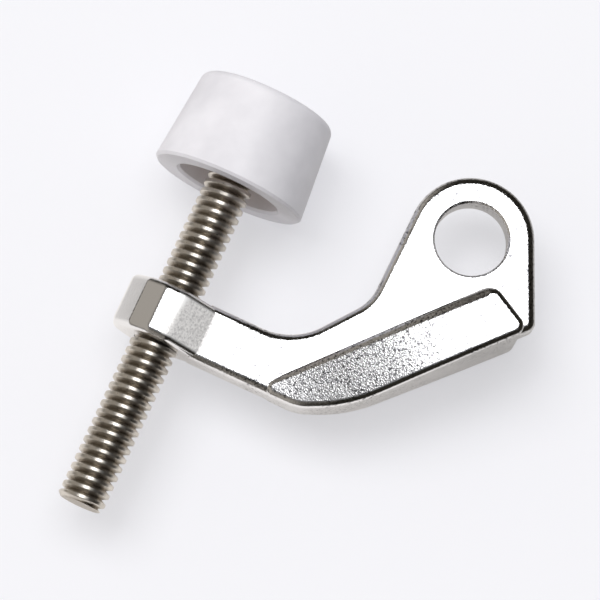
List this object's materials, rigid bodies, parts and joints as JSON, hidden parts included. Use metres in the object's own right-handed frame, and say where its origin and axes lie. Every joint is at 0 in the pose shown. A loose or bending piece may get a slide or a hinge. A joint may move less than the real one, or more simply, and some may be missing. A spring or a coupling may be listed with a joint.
{
  "type": "door stop",
  "caption": "Hinge-pin door stop: a chromed arm hangs on a hinge pin, its wing bears on the door, and a rubber bumper on a threaded rod meets the wall.",
  "frame": {"origin": "centre of the hinge-pin hole, on the arm's mid-plane", "axes": "+Z along the hinge-pin hole, +Y across the arm from the wing's side towards the wall side, +X from the threaded boss towards the eye"},
  "size_m": [0.061, 0.0573, 0.0206],
  "materials": {
    "chrome_casting": "bright chrome plate over a smooth zinc casting",
    "plated_rod": "nickel-plated rolled thread",
    "plain_disc": "plain stamped steel",
    "white_rubber": "smooth moulded white rubber, slightly glossy"
  },
  "bodies": {
    "arm": {"arm": "chrome_casting"},
    "bumper": {"bumper": "white_rubber"},
    "screw": {"threaded_rod": "plated_rod", "head_disc": "plain_disc"}
  },
  "joints": [
    {"name": "rod_advance", "type": "slide", "parent": "arm", "child": "bumper", "axis": [0.4163, 0.9092, 0], "range_m": [-0.01397, 0.02159]},
    {"name": "rod_turn", "type": "hinge", "parent": "bumper", "child": "screw", "pos_m": [-0.03918, -0.01038, 0], "axis": [0.4163, 0.9092, 0], "range_deg": [-3961, 6121]}
  ],
  "couplings": [
    {"joint": "rod_turn", "follows": "rod_advance", "rad_per_m": 4947.4}
  ]
}
